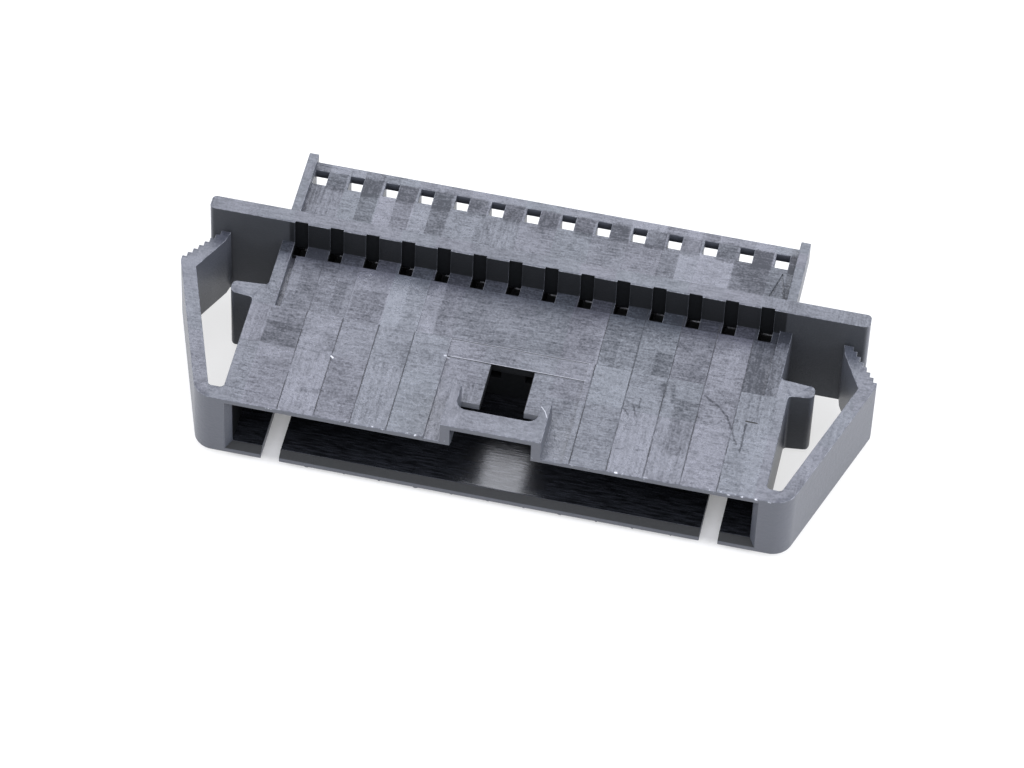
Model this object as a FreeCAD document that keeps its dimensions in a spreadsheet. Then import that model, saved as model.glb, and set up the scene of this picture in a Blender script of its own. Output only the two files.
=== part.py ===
import FreeCAD, Part
import os
import re
import Sketcher

# Panel-mount housing of a wire connector, single row, one moulding.
# X runs along the row, -Y is the mating mouth, +Y the wire side, +Z is up.
# The origin is the middle of the flange's front face, level with its lower edge.

os.makedirs("parts", exist_ok=True)
doc = FreeCAD.newDocument("ConnectorHousing")

# Driving sizes in millimetres.
SIZES = {
    # Row of terminal chambers
    "pitch": 2.54,
    "positions": 14,
    "row_shift": 0.24,
    "chamber_width": 1.25,
    "end_wall": 0.5,
    "base_wall": 1.1,
    "pin_bore": 0.8,
    "pin_level": 2.8,
    # Levels
    "lift": 0.5,
    "shroud_height": 5.6,
    "floor_wall": 0.7,
    "roof_wall": 0.75,
    "rear_height": 6.25,
    "rear_roof": 0.77,
    # Mating shroud
    "shroud_length": 15.0,
    "mating_depth": 8.9,
    "mouth_margin": 0.145,
    "side_wall": 0.73,
    "neck_margin": 0.125,
    "lead_length": 0.57,
    "lead_rise": 0.35,
    "lead_side": 0.44,
    "recess_length": 5.95,
    "recess_depth": 0.22,
    "key_slot_width": 1.28,
    "key_slot_inset": 2.12,
    "key_slot_length": 7.5,
    # Panel flange
    "flange_ear": 4.5,
    "flange_height": 8.15,
    "flange_thickness": 1.15,
    "flange_corner": 0.35,
    "groove_width": 0.93,
    "groove_depth": 0.17,
    "foot_hole_length": 0.99,
    # Wire side
    "rear_length": 7.12,
    "rail_margin": 1.465,
    "rail_width": 0.695,
    "rail_rise": 0.42,
    "rail_drop": 1.45,
    "rail_reach": 0.38,
    "window_width": 0.99,
    "window_length": 1.28,
    "window_lip": 0.73,
    "seat_rise": 1.2,
    "seat_end": 2.6,
    "step_start": 0.9,
    "step_run": 0.7,
    "mark_width": 1.2,
    "mark_length": 2.3,
    "mark_start": 2.4,
    "mark_line": 0.13,
    "mark_depth": 0.1,
    # Latch bridge at the mouth
    "bridge_half": 3.5,
    "bridge_length": 3.8,
    "bridge_rise": 1.67,
    "bridge_leg": 0.69,
    "strap_length": 1.7,
    "strap_thickness": 0.45,
    "strap_corner": 0.7,
    "catch_width": 3.0,
    "catch_length": 3.67,
    "patch_left": 4.65,
    "patch_right": 5.0,
    "patch_depth": 0.15,
    "band_length": 1.55,
    "band_depth": 0.07,
    # Panel snap arms
    "web": 1.1,
    "root_gap": 1.05,
    "arm_thickness": 1.0,
    "arm_reach": 5.7,
    "knee_depth": 3.4,
    "inner_knee_depth": 3.8,
    "tip_gap": 0.15,
    "tip_return": 2.4,
    "tip_width": 0.4,
    "tip_bend": 0.2,
    "tip_bend_depth": 1.0,
    "teeth": 8,
    "front_corner": 1.5,
    "gap_corner": 0.3,
    # Stop tabs on the neck
    "tab_back": 4.2,
    "tab_width": 1.4,
    "tab_taper": 0.2,
    "tab_reach": 1.7,
    "tab_tip": 0.45,
    "tab_root": 0.25,
}

# Places that follow from the driving sizes.
PLACES = {
    "last_x": "(positions - 1) * pitch / 2",
    "first_x": "0 - last_x - row_shift",
    "block_half": "last_x - row_shift + chamber_width / 2 + end_wall",
    "rail_half": "last_x + rail_margin",
    "rail_inner": "rail_half - rail_width",
    "mouth_half": "rail_half + mouth_margin",
    "shroud_half": "mouth_half + side_wall",
    "neck_half": "rail_half + neck_margin",
    "flange_half": "shroud_half + flange_ear",
    "mouth_y": "0 - shroud_length",
    "web_y": "web - shroud_length",
    "mating_y": "mating_depth - shroud_length",
    "chamber_y": "mating_y + base_wall",
    "neck_y": "0 - tab_back - tab_width / 2",
    "tab_front_y": "0 - tab_back - tab_width",
    "window_y": "rear_length - window_lip",
    "rail_y": "rear_length + rail_reach",
    "inside_flange_y": "flange_thickness / 2",
    "shroud_top": "lift + shroud_height",
    "floor_top": "lift + floor_wall",
    "roof_under": "shroud_top - roof_wall",
    "rear_top": "lift + rear_height",
    "rear_under": "rear_top - rear_roof",
    "bridge_top": "shroud_top + bridge_rise",
    "bridge_y": "bridge_length - shroud_length",
    "strap_y": "strap_length - shroud_length",
    "channel_half": "bridge_half - bridge_leg",
    "catch_y": "bridge_y + catch_length",
    "band_y": "catch_y + band_length",
    "key_slot_outer": "mouth_half - key_slot_inset",
    "key_slot_inner": "key_slot_outer - key_slot_width",
    "key_slot_y": "key_slot_length - shroud_length",
    "recess_half": "last_x + row_shift + groove_width / 2",
    "knee_x": "shroud_half + arm_reach",
    "arm_run": "shroud_length - web - knee_depth",
    "arm_drift": "arm_reach - root_gap",
    "arm_angle": "acos(arm_thickness / sqrt(arm_run ^ 2 + arm_drift ^ 2)) - atan(arm_run / arm_drift)",
    "arm_slope": "tan(arm_angle)",
    "arm_span": "arm_thickness / cos(arm_angle)",
    "corner_x": "knee_x - arm_slope * (shroud_length - knee_depth)",
    "root_x": "shroud_half + root_gap",
    "inner_knee_x": "knee_x - arm_slope * (inner_knee_depth - knee_depth) - arm_span",
    "tip_x": "knee_x - tip_return",
    "tab_x": "shroud_half + tab_reach",
    "mark_x": "last_x",
}

sheet = doc.addObject("Spreadsheet::Sheet", "Sizes")
for row, (alias, value) in enumerate(SIZES.items(), start=1):
    sheet.set(f"A{row}", alias)
    sheet.set(f"B{row}", str(value))
    sheet.setAlias(f"B{row}", alias)
doc.recompute()


def bound(text):
    """Turns a formula in plain words into an expression on the sheet."""
    def swap(match):
        word = match.group(0)
        if word in PLACES:
            return "(" + bound(PLACES[word]) + ")"
        return "Sizes." + word if word in SIZES else word
    return re.sub(r"[a-z][a-z_]*", swap, str(text))


def size(text):
    """The present value of a formula."""
    value = sheet.evalExpression(bound(text))
    return float(getattr(value, "Value", value))


housing = doc.addObject("PartDesign::Body", "Housing")
housing.Label = "housing"
origin = {feature.Role: feature for feature in housing.Origin.OriginFeatures}
ACROSS_UP = "XZ_Plane"
PLAN = "XY_Plane"
SIDE = "YZ_Plane"


def draw(name, plane, height, *loops):
    """A sketch of closed outlines; every corner is held by the sheet."""
    sketch = housing.newObject("Sketcher::SketchObject", name)
    sketch.AttachmentSupport = [(origin[plane], "")]
    sketch.MapMode = "FlatFace"
    sketch.setExpression("AttachmentOffset.Base.z", bound(height))
    for corners in loops:
        spots = [(size(across), size(up)) for across, up in corners]
        first = sketch.GeometryCount
        count = len(corners)
        for index in range(count):
            start = FreeCAD.Vector(*spots[index], 0)
            end = FreeCAD.Vector(*spots[(index + 1) % count], 0)
            sketch.addGeometry(Part.LineSegment(start, end), False)
        for index in range(count):
            line = first + index
            following = first + (index + 1) % count
            sketch.addConstraint(Sketcher.Constraint("Coincident", line, 2, following, 1))
        for index, (across, up) in enumerate(corners):
            line = first + index
            for kind, formula, value in (("DistanceX", across, spots[index][0]),
                                         ("DistanceY", up, spots[index][1])):
                held = Sketcher.Constraint(kind, -1, 1, line, 1, value)
                number = sketch.addConstraint(held)
                sketch.setExpression(f"Constraints[{number}]", bound(formula))
    doc.recompute()
    return sketch


def box(left, front, right, back):
    """The corners of a rectangle."""
    return [(left, front), (right, front), (right, back), (left, back)]


def volume():
    return housing.Shape.Volume if not housing.Shape.isNull() else 0.0


def pad(name, sketch, length):
    """Adds material along the sketch's normal."""
    before = volume()
    feature = housing.newObject("PartDesign::Pad", name)
    feature.Profile = sketch
    feature.setExpression("Length", bound(length))
    doc.recompute()
    if volume() <= before:
        raise RuntimeError(name + " adds nothing")
    return feature


def pocket(name, sketch, length, along=False, both=False):
    """Removes material: against the normal, along it, or to both sides."""
    before = volume()
    feature = housing.newObject("PartDesign::Pocket", name)
    feature.Profile = sketch
    feature.setExpression("Length", bound(length))
    feature.Reversed = along
    if both:
        feature.SideType = "Symmetric"
    doc.recompute()
    if volume() >= before:
        raise RuntimeError(name + " cuts nothing")
    return feature


def round_uprights(name, radius, spots):
    """Rounds the upright edges that stand at the given places, on both sides."""
    base = housing.Tip
    wanted = [(side * size(across), size(along)) for across, along in spots for side in (1, -1)]
    names = []
    for number, edge in enumerate(base.Shape.Edges, start=1):
        ends = [vertex.Point for vertex in edge.Vertexes]
        if len(ends) != 2 or abs(ends[0].x - ends[1].x) + abs(ends[0].y - ends[1].y) > 1e-6:
            continue
        if any(abs(ends[0].x - x) + abs(ends[0].y - y) < 1e-4 for x, y in wanted):
            names.append(f"Edge{number}")
    if len(names) < len(wanted):
        raise RuntimeError(name + " finds too few edges")
    feature = housing.newObject("PartDesign::Fillet", name)
    feature.Base = (base, names)
    feature.setExpression("Radius", bound(radius))
    doc.recompute()
    return feature


# The shroud is a wide front part and a narrower neck that runs into the flange.
shroud_outline = [
    ("0 - shroud_half", "mouth_y"), ("shroud_half", "mouth_y"),
    ("shroud_half", "neck_y"), ("neck_half", "neck_y"),
    ("neck_half", "inside_flange_y"), ("0 - neck_half", "inside_flange_y"),
    ("0 - neck_half", "neck_y"), ("0 - shroud_half", "neck_y"),
]
pad("Shroud", draw("ShroudPlan", PLAN, "lift", shroud_outline), "shroud_height")


def arm_outline():
    """Right snap arm: web, slanted arm, toothed return to the panel."""
    corners = [
        ("shroud_half - side_wall / 2", "mouth_y"),
        ("corner_x", "mouth_y"),
        ("knee_x", "0 - knee_depth"),
    ]
    for tooth in range(int(SIZES["teeth"]), 0, -1):
        outer = f"tip_x + tip_return * {tooth} / teeth"
        inner = f"tip_x + tip_return * {tooth - 1} / teeth"
        level = f"0 - tip_gap - (knee_depth - tip_gap) * {tooth - 1} / teeth"
        corners.append((outer, level))
        corners.append((inner, level))
    corners += [
        ("tip_x - tip_width", "0 - tip_gap"),
        ("tip_x - tip_bend", "0 - tip_bend_depth"),
        ("inner_knee_x", "0 - inner_knee_depth"),
        ("root_x", "web_y"),
        ("shroud_half - side_wall / 2", "web_y"),
    ]
    return corners


arm = pad("Arm", draw("ArmPlan", PLAN, "lift", arm_outline()), "shroud_height")
tab_outline = [
    ("neck_half - neck_margin", "0 - tab_back"),
    ("neck_half - neck_margin", "tab_front_y"),
    ("shroud_half", "tab_front_y"),
    ("tab_x", "tab_front_y + tab_taper"),
    ("tab_x", "0 - tab_back - tab_taper"),
    ("neck_half", "0 - tab_back"),
]
tab = pad("Tab", draw("TabPlan", PLAN, "lift", tab_outline), "shroud_height")
pair = housing.newObject("PartDesign::Mirrored", "LeftArmAndTab")
pair.Originals = [arm, tab]
pair.MirrorPlane = (origin[SIDE], [""])
housing.Tip = pair
doc.recompute()

round_uprights("FrontCorners", "front_corner", [("corner_x", "mouth_y")])
round_uprights("GapCorners", "gap_corner", [("root_x", "web_y"), ("shroud_half", "web_y")])
round_uprights("TabTips", "tab_tip", [("tab_x", "tab_front_y + tab_taper"),
                                      ("tab_x", "0 - tab_back - tab_taper")])

# Panel flange with its two ears.
flange_plan = draw("FlangePlan", PLAN, "0",
                   box("0 - flange_half", "0", "flange_half", "flange_thickness"))
pad("Flange", flange_plan, "flange_height")
round_uprights("FlangeCorners", "flange_corner", [("flange_half", "0"),
                                                  ("flange_half", "flange_thickness")])

# Wire side: a block of chambers under a roof, with a rail along each end of the roof.
block_plan = draw("BlockPlan", PLAN, "lift",
                  box("0 - rail_half", "inside_flange_y", "block_half", "rear_length"))
pad("ChamberBlock", block_plan, "rear_height - rear_roof / 2")
roof_plan = draw("RearRoofPlan", PLAN, "rear_under",
                 box("0 - rail_half", "inside_flange_y", "rail_half", "rear_length"))
pad("RearRoof", roof_plan, "rear_roof")
rail_plan = draw("RailPlan", PLAN, "rear_top - rail_drop",
                 box("rail_inner", "inside_flange_y", "rail_half", "rail_y"),
                 box("0 - rail_half", "inside_flange_y", "0 - rail_inner", "rail_y"))
pad("Rails", rail_plan, "rail_drop + rail_rise")

# Shallow levels on the shroud's roof.
recess_plan = draw("RoofRecessPlan", PLAN, "shroud_top",
                   box("0 - recess_half", "0 - recess_length", "recess_half", "0"))
pocket("RoofRecess", recess_plan, "recess_depth")
patch_plan = draw("LatchPatchPlan", PLAN, "shroud_top",
                  box("0 - patch_left", "mouth_y", "patch_right", "catch_y"))
pocket("LatchPatch", patch_plan, "patch_depth")
band_plan = draw("LatchBandPlan", PLAN, "shroud_top",
                 box("0 - patch_left", "catch_y", "patch_right", "band_y"))
pocket("LatchBand", band_plan, "band_depth")

# Latch bridge over the middle of the mouth.
bridge_plan = draw("BridgePlan", PLAN, "shroud_top - roof_wall / 2",
                   box("0 - bridge_half", "mouth_y", "bridge_half", "bridge_y"))
pad("Bridge", bridge_plan, "bridge_rise + roof_wall / 2")

# Mating mouth with a lead-in all round.
mouth_section = box("0 - mouth_half", "floor_top", "mouth_half", "roof_under")
flared_section = box("0 - mouth_half - lead_side", "floor_top - lead_rise",
                     "mouth_half + lead_side", "roof_under + lead_rise")
mouth_face = draw("MouthSection", ACROSS_UP, "shroud_length", mouth_section)
pocket("MatingMouth", mouth_face, "mating_depth")
flare_front = draw("FlareFront", ACROSS_UP, "shroud_length", flared_section)
flare_back = draw("FlareBack", ACROSS_UP, "shroud_length - lead_length", mouth_section)
before_flare = volume()
flare = housing.newObject("PartDesign::SubtractiveLoft", "LeadIn")
flare.Profile = flare_front
flare.Sections = [(flare_back, [""])]
doc.recompute()
if volume() >= before_flare:
    raise RuntimeError("the lead-in cuts nothing")

# The latch channel runs under the strap; behind the strap it is open upwards.
channel_face = draw("ChannelSection", ACROSS_UP, "shroud_length",
                    box("0 - channel_half", "(floor_top + roof_under) / 2",
                        "channel_half", "bridge_top - strap_thickness"))
pocket("LatchChannel", channel_face, "bridge_length")
opening_plan = draw("StrapOpeningPlan", PLAN, "bridge_top",
                    box("0 - channel_half", "strap_y", "channel_half", "bridge_y"))
pocket("StrapOpening", opening_plan, "bridge_rise")
round_uprights("StrapCorners", "strap_corner", [("channel_half", "strap_y")])
catch_plan = draw("CatchPlan", PLAN, "shroud_top",
                  box("0 - catch_width / 2", "bridge_y", "catch_width / 2", "catch_y"))
pocket("CatchWindow", catch_plan, "roof_wall")

# Two key slots through the floor, open at the mouth.
slot_plan = draw("KeySlotPlan", PLAN, "lift",
                 box("key_slot_inner", "mouth_y", "key_slot_outer", "key_slot_y"),
                 box("0 - key_slot_outer", "mouth_y", "0 - key_slot_inner", "key_slot_y"))
pocket("KeySlots", slot_plan, "floor_wall", along=True)

# One position of the row: chamber with the terminal's seat at its front end, pin bore,
# foot hole with its groove, and window.
chamber_profile = [
    ("chamber_y", "floor_top + seat_rise"), ("seat_end", "floor_top + seat_rise"),
    ("seat_end", "floor_top"), ("rear_length", "floor_top"),
    ("rear_length", "rear_under"), ("step_start + step_run", "rear_under"),
    ("step_start", "roof_under"), ("chamber_y", "roof_under"),
]
chamber = pocket("Chamber", draw("ChamberProfile", SIDE, "first_x", chamber_profile),
                 "chamber_width", both=True)
bore_profile = box("mating_y", "lift + pin_level - pin_bore / 2",
                   "chamber_y", "lift + pin_level + pin_bore / 2")
bore = pocket("PinBore", draw("PinBoreProfile", SIDE, "first_x", bore_profile),
              "pin_bore", both=True)
foot_profile = box("0 - foot_hole_length", "roof_under - roof_wall / 4",
                   "groove_depth", "flange_height")
foot = pocket("FootHoleAndGroove", draw("FootProfile", SIDE, "first_x", foot_profile),
              "groove_width", both=True)
window_profile = box("window_y - window_length", "rear_under - rear_roof / 4",
                     "window_y", "rear_top")
window = pocket("Window", draw("WindowProfile", SIDE, "first_x", window_profile),
                "window_width", both=True)
row = housing.newObject("PartDesign::LinearPattern", "Row")
row.Originals = [chamber, bore, foot, window]
row.Direction = (origin["X_Axis"], [""])
row.setExpression("Occurrences", bound("positions"))
row.setExpression("Length", bound("(positions - 1) * pitch"))
housing.Tip = row
doc.recompute()

# Engraved mark beside the first circuit.
mark_outline = [
    ("mark_x - mark_width / 2", "mark_start"),
    ("mark_x", "mark_start + mark_length"),
    ("mark_x + mark_width / 2", "mark_start"),
    ("mark_x + mark_width / 2 - mark_line", "mark_start"),
    ("mark_x", "mark_start + mark_length - 4 * mark_line"),
    ("mark_x - mark_width / 2 + mark_line", "mark_start"),
]
pocket("Mark", draw("MarkPlan", PLAN, "rear_top", mark_outline), "mark_depth")

# Roots of the stop tabs.
round_uprights("TabRoots", "tab_root", [("neck_half", "0 - tab_back"),
                                        ("shroud_half", "tab_front_y")])

doc.recompute()
for item in doc.Objects:
    if "Invalid" in item.State or "Error" in item.State:
        raise RuntimeError(item.Name + " failed")
shape = housing.Shape
if shape.isNull() or not shape.isValid() or len(shape.Solids) != 1:
    raise RuntimeError("the housing is not one valid solid")
shape.exportStep(f"parts/{housing.Label}.step")
extent = shape.BoundBox
print("housing", round(shape.Volume, 2), "mm3",
      [round(value, 3) for value in (extent.XMin, extent.XMax, extent.YMin,
                                     extent.YMax, extent.ZMin, extent.ZMax)])
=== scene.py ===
import math
import random
from types import SimpleNamespace

import bmesh
import bpy
from mathutils import Matrix, Vector

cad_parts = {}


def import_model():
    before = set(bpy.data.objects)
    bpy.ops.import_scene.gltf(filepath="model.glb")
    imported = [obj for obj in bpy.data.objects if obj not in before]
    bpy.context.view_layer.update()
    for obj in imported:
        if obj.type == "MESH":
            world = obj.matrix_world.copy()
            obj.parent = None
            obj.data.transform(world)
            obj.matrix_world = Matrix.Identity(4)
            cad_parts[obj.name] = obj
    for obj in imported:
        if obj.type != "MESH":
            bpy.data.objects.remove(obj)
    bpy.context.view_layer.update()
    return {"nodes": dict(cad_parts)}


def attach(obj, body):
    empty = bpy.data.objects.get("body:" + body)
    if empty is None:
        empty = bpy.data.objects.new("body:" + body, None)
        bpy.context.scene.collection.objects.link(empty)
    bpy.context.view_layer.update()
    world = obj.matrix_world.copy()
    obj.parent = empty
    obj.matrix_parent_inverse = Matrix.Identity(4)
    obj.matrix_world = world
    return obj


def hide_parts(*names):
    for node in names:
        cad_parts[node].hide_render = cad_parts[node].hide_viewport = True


# A single-row connector housing, moulded in one piece from black nylon, on a pale table.
# X runs along the row, -Y is the mating mouth, +Z is up; sizes here are real millimetres.

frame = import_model()
MM = 0.001

# Sizes of the moulding that the finish follows.
PITCH = 2.54
FIRST_SEAM = 0.375 - 7 * PITCH      # the mould inserts meet here and at each pitch after it
SHROUD_FRONT, SHROUD_HALF, SHROUD_TOP = -15.0, 18.3, 6.1
MOUTH_HALF, MOUTH_FLOOR, MOUTH_ROOF = 18.15, 1.25, 5.45
LEAD_IN_LOW, LEAD_IN_HIGH, LEAD_IN_BACK = 0.86, 1.22, -14.4
POLISH_LOW, POLISH_HIGH, POLISH_BACK = 0.6, 1.3, -5.8   # only the tongue's top lies in these
ROOF_LINE = -9.4                    # the inserts' tone changes across the roof here
RECESS_STEP, RECESS_FLOOR = -5.95, 5.88
ROW_HALF = 17.6                     # half the width of the row of chambers
FOOT_FRONT, GROOVE_BACK = -1.02, 0.3
FLANGE_BACK, FLANGE_TOP = 1.15, 8.15
WINDOW_FRONT, WINDOW_BACK = 5.11, 6.39
LATCH_LEFT, LATCH_RIGHT = -5.2, 5.35
LATCH_WINDOW = (-1.8, 1.75, -11.5, -7.3)    # left, right, front, back
INSERTS_TOP = 7.0                   # the inserts made the level faces below this
IN_FRONT, BEHIND_ALL, ABOVE_ALL = -15.2, 8.0, 9.0       # places clear of the housing
TABLE_HALF = 1500

# Sizes that are made here.
SIDE_GROOVE = (-17.2, -16.87, -5.93, -1.0)  # left, right, front, back
SIDE_GROOVE_DEPTH = 0.3
EDGE_RADIUS = 0.05
PAINTED_SHADE_BACK = 4.1                     # how far back into the chambers the painted shade of the front cores reaches

# The tone of the nylon goes from 0, dull and dark, to 1, smooth and pale.
MEAN_TONE = 0.51
INSERT_SHARE, BAND_SHARE = 0.4, 0.6
BAND_SEED = 4.0

# How much of the table's white glow shows under the shroud and beside it; the rest is shaded
# paint.
# Less glow under the shroud leaves the table darker there, as painted shade.
GLOW_UNDER, GLOW_OPEN = 0.2, 0.68

# Places where the mould's own finish differs: left, right, front, back, change of tone.
INSETS = [
    (-17.4, -14.95, -9.45, -7.3, -0.42),
    (-17.3, -14.9, -14.9, -10.6, -0.25),
    (-12.25, -9.85, -5.9, -2.9, -0.38),
    (-13.6, -12.75, -5.4, -2.6, -0.34),
    (-6.2, -5.0, -5.9, -2.4, -0.15),
    (9.3, 10.5, -5.9, -3.6, -0.4),
    (11.8, 13.0, -5.9, -3.2, -0.3),
    (15.0, 17.1, -5.9, -2.2, -0.15),
    (15.7, 17.1, -14.8, -10.9, -0.22),
    (1.6, 5.0, -12.2, -7.6, -0.13),
    (-3.4, -1.5, -11.2, -8.0, -0.14),
    (-3.0, 4.9, -7.5, -6.0, -0.12),
    (-5.0, 5.3, -5.9, -1.0, -0.27),
]
# Marks on the roof: the points they run through, half width, soft edge, strength.
SCUFFS = [
    ([(-13.9, -12.97), (-12.4, -12.74)], 0.1, 0.2, 0.5),
    ([(-7.42, -7.3), (-7.42, -9.9)], 0.05, 0.45, 0.4),
    ([(-13.0, -7.4), (-12.5, -8.9)], 0.05, 0.5, 0.35),
    ([(13.26, -6.94), (14.19, -7.44), (15.12, -8.42), (15.63, -9.39), (16.1, -10.6)],
     0.02, 0.1, 0.75),
    ([(16.47, -8.7), (16.49, -11.22)], 0.02, 0.07, 1.0),
    ([(12.3, -8.6), (12.2, -11.9)], 0.4, 0.9, 0.5),
    ([(10.4, -6.7), (10.55, -8.6)], 0.05, 0.3, 0.45),
    ([(11.06, -6.6), (11.2, -7.9)], 0.03, 0.2, 0.6),
    ([(11.49, -8.3), (11.66, -9.5)], 0.03, 0.2, 0.5),
    ([(8.18, -9.38), (8.49, -9.85)], 0.02, 0.07, 0.6),
    ([(8.64, -8.91), (9.11, -9.88)], 0.02, 0.07, 0.6),
    ([(9.05, -8.2), (9.13, -9.03)], 0.02, 0.07, 0.6),
    ([(8.24, -12.86), (8.69, -12.81)], 0.02, 0.06, 0.6),
    ([(9.64, -12.7), (10.09, -12.65)], 0.02, 0.06, 0.6),
]
NICKS = [([(16.43, -8.47), (17.17, -8.47)], 0.04, 0.04, 1.0)]
# Bright scratches and chips; the three marks along the latch's steps, at -7.6, -7.53 and -5.98,
# are painted highlights of the step edges.
SCRATCHES_AND_STEP_HIGHLIGHTS = [
    ([(-12.35, -9.5), (-12.2, -9.62)], 0.03, 0.05, 0.9),
    ([(-4.8, -7.6), (-4.5, -7.6)], 0.02, 0.07, 0.5),
    ([(2.5, -11.6), (2.95, -11.95), (3.2, -12.25), (3.4, -12.7)], 0.0, 0.05, 0.55),
    ([(-4.4, -7.53), (5.0, -7.53)], 0.03, 0.05, 0.26),
    ([(-4.6, -5.98), (5.0, -5.98)], 0.04, 0.06, 0.25),
]


def linear(code):
    """An sRGB hex colour as linear RGBA."""
    parts = [int(code[place:place + 2], 16) / 255 for place in (1, 3, 5)]
    return tuple(part / 12.92 if part <= 0.04045 else ((part + 0.055) / 1.055) ** 2.4
                 for part in parts) + (1.0,)


def add(tree, kind, inputs=(), **settings):
    """Adds a node with its settings and inputs, and gives its first live output."""
    made = tree.nodes.new(kind)
    for name, value in settings.items():
        setattr(made, name, value)
    for socket, source in dict(inputs).items():
        if isinstance(source, bpy.types.NodeSocket):
            tree.links.new(source, made.inputs[socket])
        else:
            made.inputs[socket].default_value = source
    return next((output for output in made.outputs if output.enabled), made)


def new_material(name):
    """An empty material and its node tree."""
    material = bpy.data.materials.new(name)
    material.use_nodes = True
    tree = material.node_tree
    tree.nodes.clear()
    return material, tree


def between(tree, value, low, high, soft=0.05):
    """A mask that is 1 where the value lies between two places."""
    rise = add(tree, "ShaderNodeMapRange", {"Value": value, "From Min": low - soft,
                                            "From Max": low + soft})
    return add(tree, "ShaderNodeMapRange", {"Value": value, "From Min": high - soft,
                                            "From Max": high + soft, "To Min": rise,
                                            "To Max": 0.0})


def marks(tree, plan, listed):
    """The strongest of a list of marks at each point of the plan."""
    total = None
    for points, half, soft, strength in listed:
        for start, end in zip(points, points[1:]):
            run = Vector((end[0] - start[0], end[1] - start[1], 0))
            away = add(tree, "ShaderNodeVectorMath", {0: plan, 1: (*start, 0)},
                       operation="SUBTRACT")
            part = add(tree, "ShaderNodeVectorMath", {0: away, 1: run / run.length_squared},
                       operation="DOT_PRODUCT")
            part = add(tree, "ShaderNodeClamp", {"Value": part})
            foot = add(tree, "ShaderNodeVectorMath", {0: tuple(run), 3: part}, operation="SCALE")
            gap = add(tree, "ShaderNodeVectorMath", {0: away, 1: foot}, operation="DISTANCE")
            mask = add(tree, "ShaderNodeMapRange",
                       {"Value": gap, "From Min": half, "From Max": half + soft,
                        "To Min": strength, "To Max": 0.0}, interpolation_type="SMOOTHSTEP")
            total = mask if total is None else add(tree, "ShaderNodeMath", {0: total, 1: mask},
                                                   operation="MAXIMUM")
    return total


def surface_places(tree):
    """Where a point is, in millimetres, what it faces, and the main areas that it can be in."""
    place = add(tree, "ShaderNodeTexCoord").node
    spot = add(tree, "ShaderNodeVectorMath", {0: place.outputs["Object"], 3: 1 / MM},
               operation="SCALE")
    across, along, level = add(tree, "ShaderNodeSeparateXYZ", {0: spot}).node.outputs
    facing = add(tree, "ShaderNodeSeparateXYZ", {0: place.outputs["Normal"]}).node.outputs
    upward = add(tree, "ShaderNodeMapRange", {"Value": facing["Z"], "From Min": 0.75,
                                              "From Max": 0.95})

    # The level faces that the inserts made, below the flange's top and between the arms.
    ground = between(tree, level, 0.0, INSERTS_TOP)
    for mask in (between(tree, across, -SHROUD_HALF, SHROUD_HALF), upward):
        ground = add(tree, "ShaderNodeMath", {0: ground, 1: mask}, operation="MULTIPLY")
    lively = add(tree, "ShaderNodeMapRange", {"Value": ground, "To Min": 0.75, "To Max": 1.0})
    behind_step = between(tree, along, RECESS_STEP, BEHIND_ALL)
    beside_latch = between(tree, across, LATCH_LEFT, LATCH_RIGHT)
    beside_latch = add(tree, "ShaderNodeMath", {0: 1.0, 1: beside_latch}, operation="SUBTRACT")
    return SimpleNamespace(spot=spot, across=across, along=along, level=level, facing=facing,
                           upward=upward, ground=ground, lively=lively,
                           behind_step=behind_step, beside_latch=beside_latch)


def mould_noises(tree, spot):
    """Clouds of 3 mm, mottling of 0.4 mm, and grain and grinding lines of 0.15 mm.

    The lines run along the row or from front to back. The real grain and lines are finer than
    the render can show, so they are drawn as coarse as that.
    """
    cloud = add(tree, "ShaderNodeTexNoise", {"Vector": spot, "Scale": 0.33, "Detail": 5.0,
                                             "Roughness": 0.6})
    mottle = add(tree, "ShaderNodeTexNoise", {"Vector": spot, "Scale": 2.6, "Detail": 4.0,
                                              "Roughness": 0.7})
    grain = add(tree, "ShaderNodeTexNoise", {"Vector": spot, "Scale": 6.5, "Detail": 2.0,
                                             "Roughness": 0.6})
    lines = []
    for stretch in ((0.8, 6.5, 6.5), (6.0, 0.5, 6.0)):
        drawn_out = add(tree, "ShaderNodeVectorMath", {0: spot, 1: stretch},
                        operation="MULTIPLY")
        lines.append(add(tree, "ShaderNodeTexNoise", {"Vector": drawn_out, "Scale": 1.0,
                                                      "Detail": 3.0, "Roughness": 0.65}))
    return SimpleNamespace(cloud=cloud, mottle=mottle, grain=grain, lengthways=lines[0],
                           crossways=lines[1])


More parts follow.
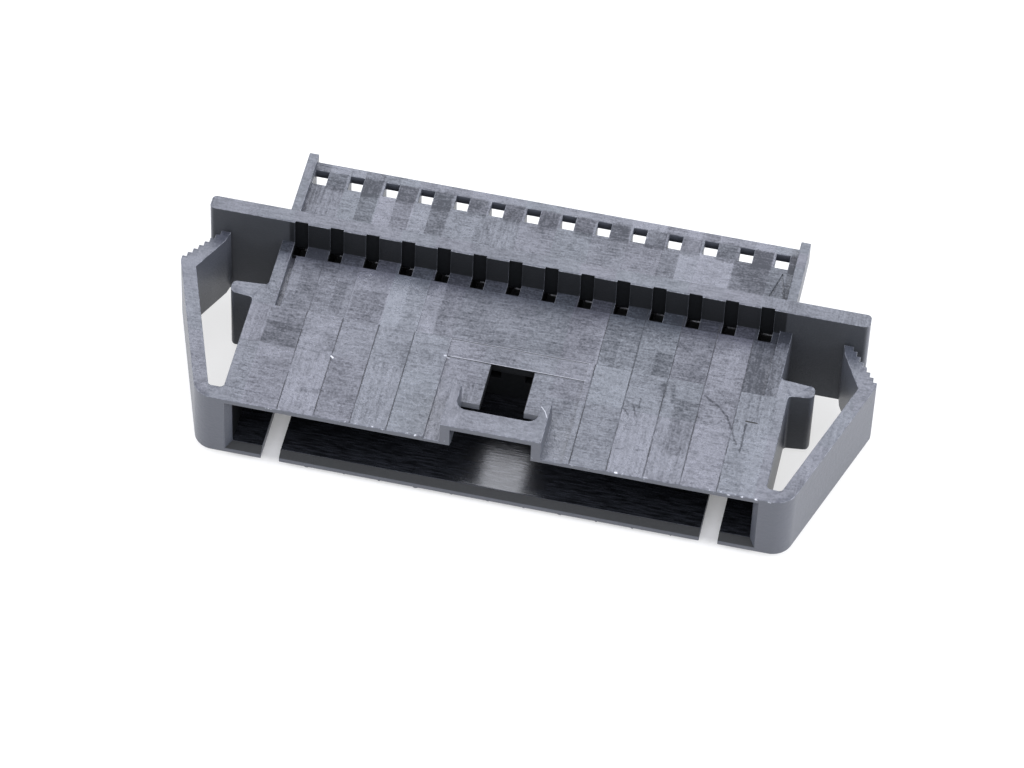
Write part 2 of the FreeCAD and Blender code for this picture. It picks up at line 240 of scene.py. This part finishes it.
def insert_cells(tree, at, cloud):
    """The insert that made a point, counted along the row, and the chances drawn for it.

    They are drawn anew in each zone from front to back, and a band is half an insert wide.
    """
    shifted = add(tree, "ShaderNodeMath", {0: at.across, 1: FIRST_SEAM}, operation="SUBTRACT")
    number = add(tree, "ShaderNodeMath", {0: shifted, 1: PITCH}, operation="DIVIDE")
    zone = None
    for step in (ROOF_LINE, RECESS_STEP, FLANGE_BACK, WINDOW_FRONT, WINDOW_BACK):
        past = add(tree, "ShaderNodeMath", {0: at.along, 1: step}, operation="GREATER_THAN")
        zone = past if zone is None else add(tree, "ShaderNodeMath", {0: zone, 1: past},
                                             operation="ADD")
    whole = add(tree, "ShaderNodeMath", {0: number}, operation="FLOOR")
    cell = add(tree, "ShaderNodeCombineXYZ", {0: whole, 1: zone})
    chance = add(tree, "ShaderNodeTexWhiteNoise", {"Vector": cell}, noise_dimensions="2D").node
    tone, turn, tint = add(tree, "ShaderNodeSeparateColor",
                           {0: chance.outputs["Color"]}).node.outputs
    warped = add(tree, "ShaderNodeMath", {0: cloud, 1: 0.06, 2: number},
                 operation="MULTIPLY_ADD")
    halved = add(tree, "ShaderNodeMath", {0: warped, 1: 2.0}, operation="MULTIPLY")
    halved = add(tree, "ShaderNodeMath", {0: halved}, operation="FLOOR")
    strip = add(tree, "ShaderNodeCombineXYZ", {0: halved, 1: zone, 2: BAND_SEED})
    band = add(tree, "ShaderNodeTexWhiteNoise", {"Vector": strip}, noise_dimensions="3D")
    return SimpleNamespace(number=number, tone=tone, turn=turn, tint=tint, band=band)


def mould_tone(tree, at, noise, insert, brushed):
    """The mould's tone, 0 dull and dark to 1 smooth and pale, with the flange's shade painted in.
    """
    # One wide insert made the roof behind the latch, so the draws don't change its tone.
    varied = add(tree, "ShaderNodeMath", {0: at.ground, 1: at.beside_latch},
                 operation="MULTIPLY")
    tone = add(tree, "ShaderNodeMath", {0: insert.tone, 1: -0.5}, operation="ADD")
    tone = add(tree, "ShaderNodeMath", {0: tone, 1: varied}, operation="MULTIPLY")
    tone = add(tree, "ShaderNodeMath", {0: tone, 1: INSERT_SHARE, 2: MEAN_TONE},
               operation="MULTIPLY_ADD")
    banded = add(tree, "ShaderNodeMath", {0: insert.band, 1: -0.5}, operation="ADD")
    for mask in (at.behind_step, varied):
        banded = add(tree, "ShaderNodeMath", {0: banded, 1: mask}, operation="MULTIPLY")
    tone = add(tree, "ShaderNodeMath", {0: banded, 1: BAND_SHARE, 2: tone},
               operation="MULTIPLY_ADD")
    for pattern, share in ((noise.cloud, 1.1), (noise.mottle, 1.1), (brushed, 1.5),
                           (noise.grain, 1.5)):
        centred = add(tree, "ShaderNodeMath", {0: pattern, 1: -0.5}, operation="ADD")
        centred = add(tree, "ShaderNodeMath", {0: centred, 1: at.lively}, operation="MULTIPLY")
        tone = add(tree, "ShaderNodeMath", {0: centred, 1: share, 2: tone},
                   operation="MULTIPLY_ADD")

    for left, right, front, back, change in INSETS:
        width = between(tree, at.across, left, right, 0.08)
        depth = between(tree, at.along, front, back, 0.12)
        inset = add(tree, "ShaderNodeMath", {0: width, 1: depth}, operation="MULTIPLY")
        inset = add(tree, "ShaderNodeMath", {0: inset, 1: at.ground}, operation="MULTIPLY")
        tone = add(tree, "ShaderNodeMath", {0: inset, 1: change, 2: tone},
                   operation="MULTIPLY_ADD")

    # The bars between two windows are duller than the roof, and the lip behind the windows is
    # paler. The strip between the foot holes is painted darker, as the flange's shade. All of the
    # rear is a little duller.
    within = add(tree, "ShaderNodeMath", {0: insert.number}, operation="FRACT")
    bars = between(tree, within, 0.47, 1.2, 0.02)
    windows = between(tree, at.along, WINDOW_FRONT - 0.3, WINDOW_BACK + 0.05, 0.15)
    bars = add(tree, "ShaderNodeMath", {0: bars, 1: windows}, operation="MULTIPLY")
    lip = between(tree, at.along, WINDOW_BACK + 0.05, BEHIND_ALL)
    flange_shade_strip = between(tree, at.along, FOOT_FRONT, GROOVE_BACK, 0.03)
    for area, change in ((bars, -0.5), (lip, 0.2), (flange_shade_strip, -0.6)):
        area = add(tree, "ShaderNodeMath", {0: area, 1: at.ground}, operation="MULTIPLY")
        tone = add(tree, "ShaderNodeMath", {0: area, 1: change, 2: tone},
                   operation="MULTIPLY_ADD")
    rear = between(tree, at.along, 0.0, BEHIND_ALL)
    return add(tree, "ShaderNodeMath", {0: rear, 1: -0.1, 2: tone}, operation="MULTIPLY_ADD")


def insert_seams(tree, at, noise, insert):
    """Hairlines where two inserts meet, on the roof beside the latch, broken here and there."""
    ragged = add(tree, "ShaderNodeMath", {0: noise.grain, 1: 0.05, 2: insert.number},
                 operation="MULTIPLY_ADD")
    apart = add(tree, "ShaderNodeMath", {0: ragged, 1: 0.525}, operation="SUBTRACT")
    apart = add(tree, "ShaderNodeMath", {0: apart}, operation="FRACT")
    apart = add(tree, "ShaderNodeMath", {0: apart, 1: -0.5}, operation="ADD")
    apart = add(tree, "ShaderNodeMath", {0: apart}, operation="ABSOLUTE")
    seam = add(tree, "ShaderNodeMapRange", {"Value": apart, "From Min": 0.05 / PITCH,
                                            "From Max": 0.01 / PITCH})
    roof = between(tree, at.along, IN_FRONT, 0.0)
    inner = between(tree, at.across, -16.0, 16.5)
    faint = add(tree, "ShaderNodeMath", {0: at.behind_step, 1: insert.tone},
                operation="MULTIPLY")
    faint = add(tree, "ShaderNodeMath", {0: 1.0, 1: faint}, operation="SUBTRACT")
    unbroken = add(tree, "ShaderNodeMapRange", {"Value": noise.cloud, "From Min": 0.4,
                                                "From Max": 0.55, "To Min": 0.25})
    for mask in (at.beside_latch, roof, inner, faint, at.ground, unbroken):
        seam = add(tree, "ShaderNodeMath", {0: seam, 1: mask}, operation="MULTIPLY")
    return seam


def handling_marks_and_highlights(tree, at, mottle):
    """Scuffs with frayed edges, dark nicks, bright scratches and chips, and painted edge
    highlights.
    """
    flat = add(tree, "ShaderNodeCombineXYZ", {0: at.across, 1: at.along, 2: 0.0})
    fray = add(tree, "ShaderNodeTexNoise", {"Vector": at.spot, "Scale": 2.2, "Detail": 3.0})
    moved = add(tree, "ShaderNodeVectorMath", {0: flat, 1: (-0.15, -0.15, 0.0)}, operation="ADD")
    frayed = add(tree, "ShaderNodeVectorMath", {0: fray.node.outputs["Color"],
                                                1: (0.3, 0.3, 0.0), 2: moved},
                 operation="MULTIPLY_ADD")
    scuffs = marks(tree, frayed, SCUFFS)
    scuffs = add(tree, "ShaderNodeMath", {0: scuffs, 1: at.upward}, operation="MULTIPLY")
    nicks = marks(tree, flat, NICKS)
    nicks = add(tree, "ShaderNodeMath", {0: nicks, 1: at.upward}, operation="MULTIPLY")

    # Pale specks along the roof's front edge, partly chips and partly painted glints, and on the
    # top the bright scratches and the painted highlights of the latch's steps.
    bright = marks(tree, flat, SCRATCHES_AND_STEP_HIGHLIGHTS)
    above = between(tree, at.level, SHROUD_TOP - 0.3, ABOVE_ALL)
    bright = add(tree, "ShaderNodeMath", {0: bright, 1: above}, operation="MULTIPLY")
    chips_and_glints = add(tree, "ShaderNodeTexNoise", {"Vector": at.spot, "Scale": 2.6, "Detail": 2.0})
    chips_and_glints = add(tree, "ShaderNodeMapRange", {"Value": chips_and_glints, "From Min": 0.62, "From Max": 0.68})
    rim = add(tree, "ShaderNodeMapRange", {"Value": at.along, "From Min": SHROUD_FRONT + 0.15,
                                           "From Max": SHROUD_FRONT + 0.03})
    for mask in (rim, between(tree, at.level, SHROUD_TOP - 0.12, SHROUD_TOP + 0.02, 0.02)):
        chips_and_glints = add(tree, "ShaderNodeMath", {0: chips_and_glints, 1: mask}, operation="MULTIPLY")
    bright = add(tree, "ShaderNodeMath", {0: bright, 1: chips_and_glints}, operation="MAXIMUM")

    # The eased outer edges, picked by their slant, are painted pale in patches as highlights.
    edge_highlight = between(tree, at.facing["Z"], 0.35, 0.92)
    patchy = add(tree, "ShaderNodeMapRange", {"Value": mottle, "From Min": 0.42,
                                              "From Max": 0.6, "To Max": 0.6})
    for mask in (patchy, between(tree, at.level, 5.5, ABOVE_ALL)):
        edge_highlight = add(tree, "ShaderNodeMath", {0: edge_highlight, 1: mask}, operation="MULTIPLY")
    return SimpleNamespace(scuffs=scuffs, nicks=nicks, bright=bright, edge_highlight=edge_highlight)


def finished_and_shaded_areas(tree, at):
    """The flange's face, its middle between the grooves, the mouth's lead-in and the tongue."""
    # The flange's face, its middle and the lead-in are masked here to be painted darker, as
    # shade.
    flange = between(tree, at.along, -10.0, 0.4)
    facing_front = add(tree, "ShaderNodeMapRange", {"Value": at.facing["Y"], "From Min": -0.7,
                                                    "From Max": -0.95})
    flange = add(tree, "ShaderNodeMath", {0: flange, 1: facing_front}, operation="MULTIPLY")
    middle = between(tree, at.across, -ROW_HALF, ROW_HALF)
    for mask in (flange, between(tree, at.level, 5.7, ABOVE_ALL)):
        middle = add(tree, "ShaderNodeMath", {0: middle, 1: mask}, operation="MULTIPLY")
    lead_in = between(tree, at.level, LEAD_IN_LOW, LEAD_IN_HIGH, 0.02)
    for mask in (between(tree, at.along, IN_FRONT, LEAD_IN_BACK - 0.02, 0.02),
                 between(tree, at.facing["Z"], 0.6, 0.97, 0.02)):
        lead_in = add(tree, "ShaderNodeMath", {0: lead_in, 1: mask}, operation="MULTIPLY")
    tongue = between(tree, at.level, POLISH_LOW, POLISH_HIGH)
    behind_lead_in = add(tree, "ShaderNodeMapRange", {"Value": at.along,
                                                      "From Min": LEAD_IN_BACK + 0.02,
                                                      "From Max": LEAD_IN_BACK - 0.02,
                                                      "To Min": 1.0, "To Max": 0.0})
    for mask in (at.upward, between(tree, at.along, IN_FRONT, POLISH_BACK), behind_lead_in):
        tongue = add(tree, "ShaderNodeMath", {0: tongue, 1: mask}, operation="MULTIPLY")
    return SimpleNamespace(flange=flange, middle=middle, lead_in=lead_in, tongue=tongue)


def nylon_colour(tree, at, tone, tint, streaks, areas, marks_and_highlights, seam):
    """The colour: each insert is cool or warm; areas, marks, painted shade and highlights lie
    over it.
    """
    cool, warm = (add(tree, "ShaderNodeMix", {"Factor": tone, "A": linear(dark),
                                              "B": linear(pale)}, data_type="RGBA")
                  for dark, pale in (("#0d1420", "#51565f"), ("#0f1320", "#545560")))
    colour = add(tree, "ShaderNodeMix", {"Factor": tint, "A": cool, "B": warm},
                 data_type="RGBA")
    colour = add(tree, "ShaderNodeMix", {"Factor": at.upward, "A": linear("#4a4d55"),
                                         "B": colour}, data_type="RGBA")
    painted_deep_shade = add(tree, "ShaderNodeMath", {0: areas.middle, 1: areas.lead_in},
                  operation="MAXIMUM")
    drag = add(tree, "ShaderNodeMix", {"Factor": streaks, "A": linear("#0c0d10"),
                                       "B": linear("#24262b")}, data_type="RGBA")
    # The flange's face is painted darker and its middle and the lead-in near black, as shade; the
    # pale edges, front-edge specks and step lines are partly or wholly painted highlights.
    for mask, over in ((areas.flange, linear("#303339")), (painted_deep_shade, linear("#0b0e12")),
                       (areas.tongue, drag), (marks_and_highlights.edge_highlight, linear("#9296a0")),
                       (seam, linear("#1d1f24")), (marks_and_highlights.nicks, linear("#08080a")),
                       (marks_and_highlights.bright, linear("#c9cbd2"))):
        colour = add(tree, "ShaderNodeMix", {"Factor": mask, "A": colour, "B": over},
                     data_type="RGBA")
    return colour


def nylon_roughness(tree, at, tone, streaks, areas, marks_and_highlights, seam):
    """The roughness: a pale tone is smooth, the tongue is polished, the flange's face dull."""
    dull = add(tree, "ShaderNodeMapRange", {"Value": tone, "To Min": 1.0, "To Max": 0.0})
    dull = add(tree, "ShaderNodeMath", {0: dull, 1: 1.5}, operation="POWER")
    rough = add(tree, "ShaderNodeMath", {0: dull, 1: 0.36, 2: 0.26}, operation="MULTIPLY_ADD")
    rough = add(tree, "ShaderNodeMix", {"Factor": at.upward, 2: 0.38, 3: rough})
    slick = add(tree, "ShaderNodeMapRange", {"Value": streaks, "To Min": 0.25, "To Max": 0.18})
    for mask, over in ((areas.flange, 0.65), (areas.middle, 0.45), (areas.lead_in, 0.75),
                       (areas.tongue, slick), (seam, 0.8), (marks_and_highlights.nicks, 0.8)):
        rough = add(tree, "ShaderNodeMix", {"Factor": mask, 2: rough, 3: over})
    return rough


def nylon_relief(tree, at, noise, brushed, areas, scuffs, seam):
    """The fine relief: grinding lines, grain and mottling, with seams and scuffs sunk in."""
    relief = noise.grain
    for pattern, height in ((brushed, 0.8), (noise.mottle, 2.0), (seam, -1.5), (scuffs, -0.8)):
        relief = add(tree, "ShaderNodeMath", {0: pattern, 1: height, 2: relief},
                     operation="MULTIPLY_ADD")
    lines = add(tree, "ShaderNodeMath", {0: noise.lengthways, 1: 0.55}, operation="MULTIPLY")
    relief = add(tree, "ShaderNodeMix", {"Factor": areas.tongue, 2: relief, 3: lines})
    strength = add(tree, "ShaderNodeMapRange", {"Value": at.lively, "To Max": 0.9})
    return add(tree, "ShaderNodeBump", {"Strength": strength, "Distance": 0.02 * MM,
                                        "Height": relief})


# Glass-filled black nylon, injection moulded: dark in itself, with a satin skin that copies the
# mould. The inserts that made each position were ground separately, so each has its own fine
# lines and tone, and a hairline of flash stands where two meet. Upright faces have the coarser,
# duller skin of spark erosion. Handling has left scuffs, and fine pale nicks along the front
# edge, drawn together with painted glints of that edge. The flange's face, the mouth's lead-in
# and the strip before the foot holes are painted darker as shade, and the eased edges and the
# latch's steps carry painted highlights.
def moulded_nylon():
    material, tree = new_material("MouldedBlackNylon")
    at = surface_places(tree)
    noise = mould_noises(tree, at.spot)
    insert = insert_cells(tree, at, noise.cloud)
    areas = finished_and_shaded_areas(tree, at)
    marks_and_highlights = handling_marks_and_highlights(tree, at, noise.mottle)

    # Some of the inserts were ground from front to back.
    turned = add(tree, "ShaderNodeMath", {0: insert.turn, 1: 0.72}, operation="GREATER_THAN")
    brushed = add(tree, "ShaderNodeMix", {"Factor": turned, 2: noise.lengthways,
                                          3: noise.crossways})
    tone = mould_tone(tree, at, noise, insert, brushed)
    tone = add(tree, "ShaderNodeMath", {0: marks_and_highlights.scuffs, 1: -0.75, 2: tone},
               operation="MULTIPLY_ADD")
    tone = add(tree, "ShaderNodeMapRange", {"Value": tone, "From Min": -0.3})
    streaks = add(tree, "ShaderNodeMapRange", {"Value": noise.lengthways, "From Min": 0.38,
                                               "From Max": 0.62})

    # No seam runs over the polished tongue.
    seam = insert_seams(tree, at, noise, insert)
    untouched = add(tree, "ShaderNodeMath", {0: 1.0, 1: areas.tongue}, operation="SUBTRACT")
    seam = add(tree, "ShaderNodeMath", {0: seam, 1: untouched}, operation="MULTIPLY")

    colour = nylon_colour(tree, at, tone, insert.tint, streaks, areas, marks_and_highlights, seam)
    rough = nylon_roughness(tree, at, tone, streaks, areas, marks_and_highlights, seam)
    bump = nylon_relief(tree, at, noise, brushed, areas, marks_and_highlights.scuffs, seam)
    shader = add(tree, "ShaderNodeBsdfPrincipled", {"Base Color": colour, "Roughness": rough,
                                                    "IOR": 1.57, "Normal": bump})
    add(tree, "ShaderNodeOutputMaterial", {"Surface": shader})
    return material


# Faces that a core or a slender insert formed, deep inside where little light gets in. The real
# nylon there is the same as outside; here it is painted nearly black with a weak dull reflection,
# as painted shade. The skin's real grain is too fine to show, so it is drawn at 0.25 mm.
def shade_painted_core_nylon():
    material, tree = new_material("CorePaintedShadeNylon")
    place = add(tree, "ShaderNodeTexCoord").node
    grain = add(tree, "ShaderNodeTexNoise", {"Vector": place.outputs["Object"],
                                             "Scale": 4 / MM, "Detail": 3.0})
    colour = add(tree, "ShaderNodeMix", {"Factor": grain, "A": linear("#08090b"),
                                         "B": linear("#16181b")}, data_type="RGBA")
    bump = add(tree, "ShaderNodeBump", {"Strength": 0.4, "Distance": 0.015 * MM,
                                        "Height": grain})
    shader = add(tree, "ShaderNodeBsdfPrincipled", {"Base Color": colour, "Roughness": 0.6,
                                                    "IOR": 1.57, "Specular IOR Level": 0.12,
                                                    "Normal": bump})
    add(tree, "ShaderNodeOutputMaterial", {"Surface": shader})
    return material


def takes_painted_shade(face):
    """True for a face in the mouth, the latch's window, a foot hole or a groove: painted shade.
    """
    across, along, level = face.calc_center_median() / MM
    left, right, front, back = LATCH_WINDOW
    half = MOUTH_HALF if along < RECESS_STEP else ROW_HALF
    in_row = abs(across) < ROW_HALF
    mouth = (abs(across) < half and LEAD_IN_BACK < along < PAINTED_SHADE_BACK
             and MOUTH_FLOOR < level < MOUTH_ROOF)
    window = (left < across < right and front < along < back
              and MOUTH_FLOOR < level < SHROUD_TOP - 0.1)
    foot = (in_row and FOOT_FRONT - 0.03 < along < GROOVE_BACK
            and MOUTH_FLOOR < level < RECESS_FLOOR - 0.02)
    groove = (in_row and 0.02 < along < GROOVE_BACK
              and RECESS_FLOOR - 0.01 < level < FLANGE_TOP - 0.05)
    return mouth or window or foot or groove


def with_edges(faces):
    """The faces and their edges, each once."""
    return list(dict.fromkeys(edge for face in faces for edge in face.edges)) + faces


def part_the_chambers(skin):
    """Cuts the chambers' faces where the front cores ended; the front part takes the painted
    shade.
    """
    walls = [face for face in skin.faces
             if abs(face.calc_center_median().x) < (ROW_HALF - 0.05) * MM
             and (MOUTH_FLOOR - 0.15) * MM < face.calc_center_median().z < MOUTH_ROOF * MM]
    bmesh.ops.bisect_plane(skin, geom=with_edges(walls), dist=0.001 * MM,
                           plane_co=(0, PAINTED_SHADE_BACK * MM, 0), plane_no=(0, 1, 0))


def has_room(edge):
    """True for a sharp outer edge whose two faces leave room for its easing."""
    if not edge.is_manifold or not edge.is_convex or edge.calc_face_angle() < math.radians(30):
        return False
    width = min(2 * face.calc_area() for face in edge.link_faces) / edge.calc_length()
    return width > 2.5 * EDGE_RADIUS * MM


def cut_side_groove(skin):
    """Sinks the narrow groove beside the roof's recess."""
    left, right, front, back = (place * MM for place in SIDE_GROOVE)
    floor = [face for face in skin.faces
             if face.normal.z > 0.99
             and abs(face.calc_center_median().z - RECESS_FLOOR * MM) < 0.02 * MM]
    for spot, way in (((right, 0, 0), (1, 0, 0)), ((0, front, 0), (0, 1, 0)),
                      ((0, back, 0), (0, 1, 0)), ((left, 0, 0), (1, 0, 0))):
        cut = bmesh.ops.bisect_plane(skin, geom=with_edges(floor), dist=0.001 * MM,
                                     plane_co=spot, plane_no=way)["geom"]
        floor = [part for part in cut if isinstance(part, bmesh.types.BMFace)]
    sunk = [face for face in floor
            if left < face.calc_center_median().x < right
            and front < face.calc_center_median().y < back]
    made = bmesh.ops.extrude_face_region(skin, geom=sunk)["geom"]
    bmesh.ops.delete(skin, geom=sunk, context="FACES_ONLY")
    deep = [part for part in made if isinstance(part, bmesh.types.BMVert)]
    bmesh.ops.translate(skin, verts=deep, vec=(0, 0, -SIDE_GROOVE_DEPTH * MM))


def dressed_housing(material, core):
    """The housing with its side groove, its edges eased, its nylon and its painted-shade
    material.
    """
    mesh = frame["nodes"]["housing"].data.copy()
    mesh.name = "housing_skin"
    skin = bmesh.new()
    skin.from_mesh(mesh)
    bmesh.ops.remove_doubles(skin, verts=skin.verts, dist=0.0005 * MM)
    cut_side_groove(skin)
    outer = [edge for edge in skin.edges if has_room(edge)]
    bmesh.ops.bevel(skin, geom=outer, offset=EDGE_RADIUS * MM, offset_type="OFFSET",
                    affect="EDGES", segments=2, profile=0.5, material=-1, clamp_overlap=False,
                    face_strength_mode="ALL")
    part_the_chambers(skin)
    # The easing leaves some edges that are too short to see and would give faces without area.
    bmesh.ops.dissolve_degenerate(skin, dist=0.002 * MM, edges=skin.edges)
    # Faces deep in the mouth, window, foot holes and grooves take the second material, painted
    # shade.
    for face in skin.faces:
        face.smooth = True
        face.material_index = int(takes_painted_shade(face))
    for edge in skin.edges:
        edge.smooth = not edge.is_manifold or edge.calc_face_angle() < math.radians(50)
    # The materials come before the faces, whose numbers would go with the old materials.
    mesh.materials.clear()
    mesh.materials.append(material)
    mesh.materials.append(core)
    skin.to_mesh(mesh)
    skin.free()
    piece = bpy.data.objects.new("housing_skin", mesh)
    bpy.context.scene.collection.objects.link(piece)
    weighted = piece.modifiers.new("flat faces", "WEIGHTED_NORMAL")
    weighted.keep_sharp = True
    weighted.use_face_influence = True
    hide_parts("housing")
    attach(piece, "root")


def flash_beads(material):
    """Ragged beads of flash under the tongue's front edge, one at each pitch line."""
    chance = random.Random(5)
    beads = bmesh.new()
    for number in range(-5, 6):
        radius = chance.uniform(0.07, 0.11) * MM
        made = bmesh.ops.create_icosphere(beads, subdivisions=2, radius=radius)["verts"]
        bmesh.ops.scale(beads, verts=made, vec=(chance.uniform(1.0, 1.8), 0.5, 0.9))
        for vert in made:
            vert.co *= chance.uniform(0.8, 1.15)
        place = (number * PITCH + chance.uniform(-0.1, 0.05), SHROUD_FRONT + 0.07, 0.47)
        bmesh.ops.translate(beads, verts=made, vec=Vector(place) * MM)
    for face in beads.faces:
        face.smooth = True
    mesh = bpy.data.meshes.new("flash_beads")
    beads.to_mesh(mesh)
    beads.free()
    mesh.materials.append(material)
    piece = bpy.data.objects.new("flash_beads", mesh)
    bpy.context.scene.collection.objects.link(piece)
    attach(piece, "root")


def table():
    """A pale painted table under the housing; it keeps its soft shadow, shows white, glows less
    below.
    """
    material, tree = new_material("PaleTable")
    path = add(tree, "ShaderNodeLightPath").node
    seen = path.outputs["Is Camera Ray"]
    for ray in ("Is Glossy Ray", "Is Transmission Ray"):
        seen = add(tree, "ShaderNodeMath", {0: seen, 1: path.outputs[ray]}, operation="MAXIMUM")
    colour = add(tree, "ShaderNodeMix", {"Factor": seen, "A": linear("#f2f2f4"),
                                         "B": linear("#ffffff")}, data_type="RGBA")
    paint = add(tree, "ShaderNodeBsdfDiffuse", {"Color": colour})
    glow = add(tree, "ShaderNodeEmission", {"Color": linear("#ffffff"), "Strength": 1.0})
    place = add(tree, "ShaderNodeTexCoord").node
    spot = add(tree, "ShaderNodeVectorMath", {0: place.outputs["Object"], 3: 1 / MM},
               operation="SCALE")
    across, along, _ = add(tree, "ShaderNodeSeparateXYZ", {0: spot}).node.outputs
    # Under the shroud less glow is mixed in, so the table is painted darker there, as shade.
    width = between(tree, across, -SHROUD_HALF, SHROUD_HALF, 0.4)
    depth = between(tree, along, SHROUD_FRONT + 0.4, 0.0, 0.4)
    covered = add(tree, "ShaderNodeMath", {0: width, 1: depth}, operation="MULTIPLY")
    share = add(tree, "ShaderNodeMapRange", {"Value": covered, "To Min": GLOW_OPEN,
                                             "To Max": GLOW_UNDER})
    part = add(tree, "ShaderNodeMath", {0: seen, 1: share}, operation="MULTIPLY")
    mixed = add(tree, "ShaderNodeMixShader", {0: part, 1: paint, 2: glow})
    add(tree, "ShaderNodeOutputMaterial", {"Surface": mixed})
    sheet = bmesh.new()
    bmesh.ops.create_grid(sheet, x_segments=1, y_segments=1, size=TABLE_HALF * MM)
    mesh = bpy.data.meshes.new("table")
    sheet.to_mesh(mesh)
    sheet.free()
    mesh.materials.append(material)
    top = bpy.data.objects.new("table", mesh)
    bpy.context.scene.collection.objects.link(top)


def softbox(name, size, place, aim, brightness, colour):
    """A rectangular lamp that faces its aim; its sides and places in millimetres."""
    lamp = bpy.data.lights.new(name, "AREA")
    lamp.shape = "RECTANGLE"
    lamp.size, lamp.size_y = (side * MM for side in size)
    lamp.energy = brightness * 4 * lamp.size * lamp.size_y
    lamp.color = linear(colour)[:3]
    holder = bpy.data.objects.new(name, lamp)
    holder.location = Vector(place) * MM
    toward = (Vector(aim) - Vector(place)).normalized()
    holder.rotation_euler = toward.to_track_quat("-Z", "Y").to_euler()
    bpy.context.scene.collection.objects.link(holder)


def world(strength):
    """A dim even surround that shows white."""
    surround = bpy.data.worlds.new("Surround")
    surround.use_nodes = True
    tree = surround.node_tree
    tree.nodes.clear()
    path = add(tree, "ShaderNodeLightPath").node
    seen = path.outputs["Is Camera Ray"]
    for ray in ("Is Glossy Ray", "Is Transmission Ray"):
        seen = add(tree, "ShaderNodeMath", {0: seen, 1: path.outputs[ray]}, operation="MAXIMUM")
    level = add(tree, "ShaderNodeMapRange", {"Value": seen, "To Min": strength, "To Max": 1.0})
    light = add(tree, "ShaderNodeBackground", {"Color": linear("#ffffff"), "Strength": level})
    add(tree, "ShaderNodeOutputWorld", {"Surface": light})
    bpy.context.scene.world = surround


def camera(aim, distance, azimuth, elevation, roll, lens):
    """The photograph's viewpoint: distance in millimetres, angles in degrees."""
    turn, rise = math.radians(azimuth), math.radians(elevation)
    away = Vector((math.sin(turn) * math.cos(rise), -math.cos(turn) * math.cos(rise),
                   math.sin(rise)))
    data = bpy.data.cameras.new("Camera")
    data.lens = lens
    data.sensor_width = 36
    data.clip_start = 0.01
    data.clip_end = 10
    holder = bpy.data.objects.new("Camera", data)
    look = (-away).to_track_quat("-Z", "Y").to_matrix()
    look = look @ Matrix.Rotation(math.radians(-roll), 3, "Z")
    holder.matrix_world = Matrix.Translation((Vector(aim) + away * distance) * MM) @ look.to_4x4()
    bpy.context.scene.collection.objects.link(holder)
    bpy.context.scene.camera = holder


nylon = moulded_nylon()
dressed_housing(nylon, shade_painted_core_nylon())
flash_beads(nylon)
table()
world(0.35)
softbox("SkyPanel", (520, 330), (-30, 450, 510), (0, -5, 4), 4.1, "#f1f4ff")
softbox("FrontPanel", (560, 360), (0, -330, 560), (0, -5, 4), 2.4, "#f4f6ff")
softbox("RightPanel", (460, 340), (400, -20, 290), (0, 0, 4), 4.6, "#f6f8ff")
softbox("LeftPanel", (460, 340), (-400, -20, 290), (0, 0, 4), 3.7, "#f6f8ff")
camera(aim=(0.236, -9.003, 6.1), distance=374.07, azimuth=10.30, elevation=50.18, roll=-2.58,
       lens=192.42)

bpy.context.scene.view_settings.view_transform = "Standard"
